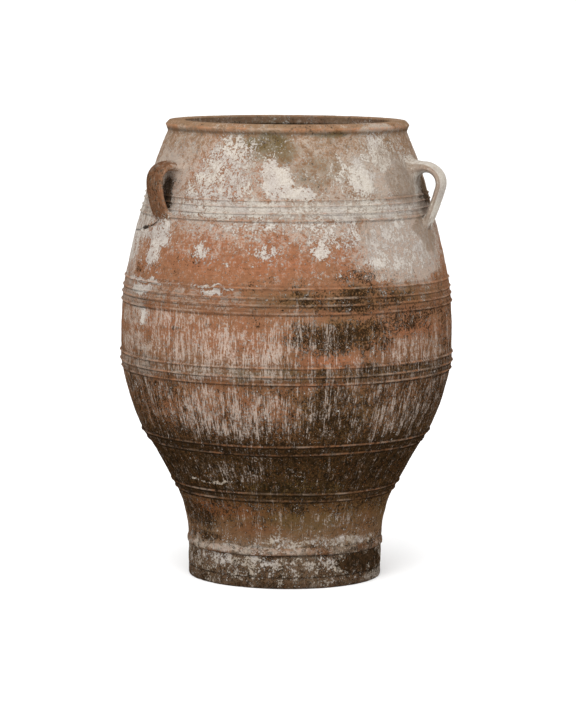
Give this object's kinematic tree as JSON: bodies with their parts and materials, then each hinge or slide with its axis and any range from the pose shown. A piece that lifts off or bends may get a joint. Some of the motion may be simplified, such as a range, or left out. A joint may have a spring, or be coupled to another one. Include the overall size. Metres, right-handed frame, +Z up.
{
  "type": "storage jar",
  "caption": "Tall round-bellied terracotta storage jar with a wide mouth, a straight foot, ridged bands and strap handles at the shoulder.",
  "frame": {"origin": "centre of the underside of the foot, on the jar's own axis", "axes": "+Z up along the jar's axis to the mouth; -Y is the front, midway between the left and right handles; +X is the right-hand handle's side"},
  "size_m": [0.7337, 0.7338, 1],
  "materials": {
    "terracotta_dark": "matte, dark brown weathering with lime bloom",
    "terracotta_red": "matte, red-orange clay with whitish streaks and brown stains",
    "terracotta_limed": "matte, clay under a flaking cream lime coat"
  },
  "bodies": {
    "root": {"base_slab": "terracotta_dark", "foot_drum": "terracotta_dark", "foot_ledge_coil": "terracotta_dark", "flare_drum": "terracotta_dark", "flare_band": "terracotta_dark", "lower_belly_drum": "terracotta_dark", "lower_belly_band": "terracotta_dark", "middle_belly_drum": "terracotta_red", "middle_belly_band": "terracotta_red", "upper_belly_drum": "terracotta_red", "upper_belly_band": "terracotta_red", "shoulder_drum": "terracotta_red", "shoulder_band": "terracotta_limed", "neck_drum": "terracotta_limed", "rim_lip": "terracotta_limed", "left_handle": "terracotta_limed", "left_handle_upper_pad": "terracotta_limed", "left_handle_lower_pad": "terracotta_limed", "right_handle": "terracotta_limed", "right_handle_upper_pad": "terracotta_limed", "right_handle_lower_pad": "terracotta_limed", "rear_handle": "terracotta_limed", "rear_handle_upper_pad": "terracotta_limed", "rear_handle_lower_pad": "terracotta_limed"}
  },
  "joints": []
}
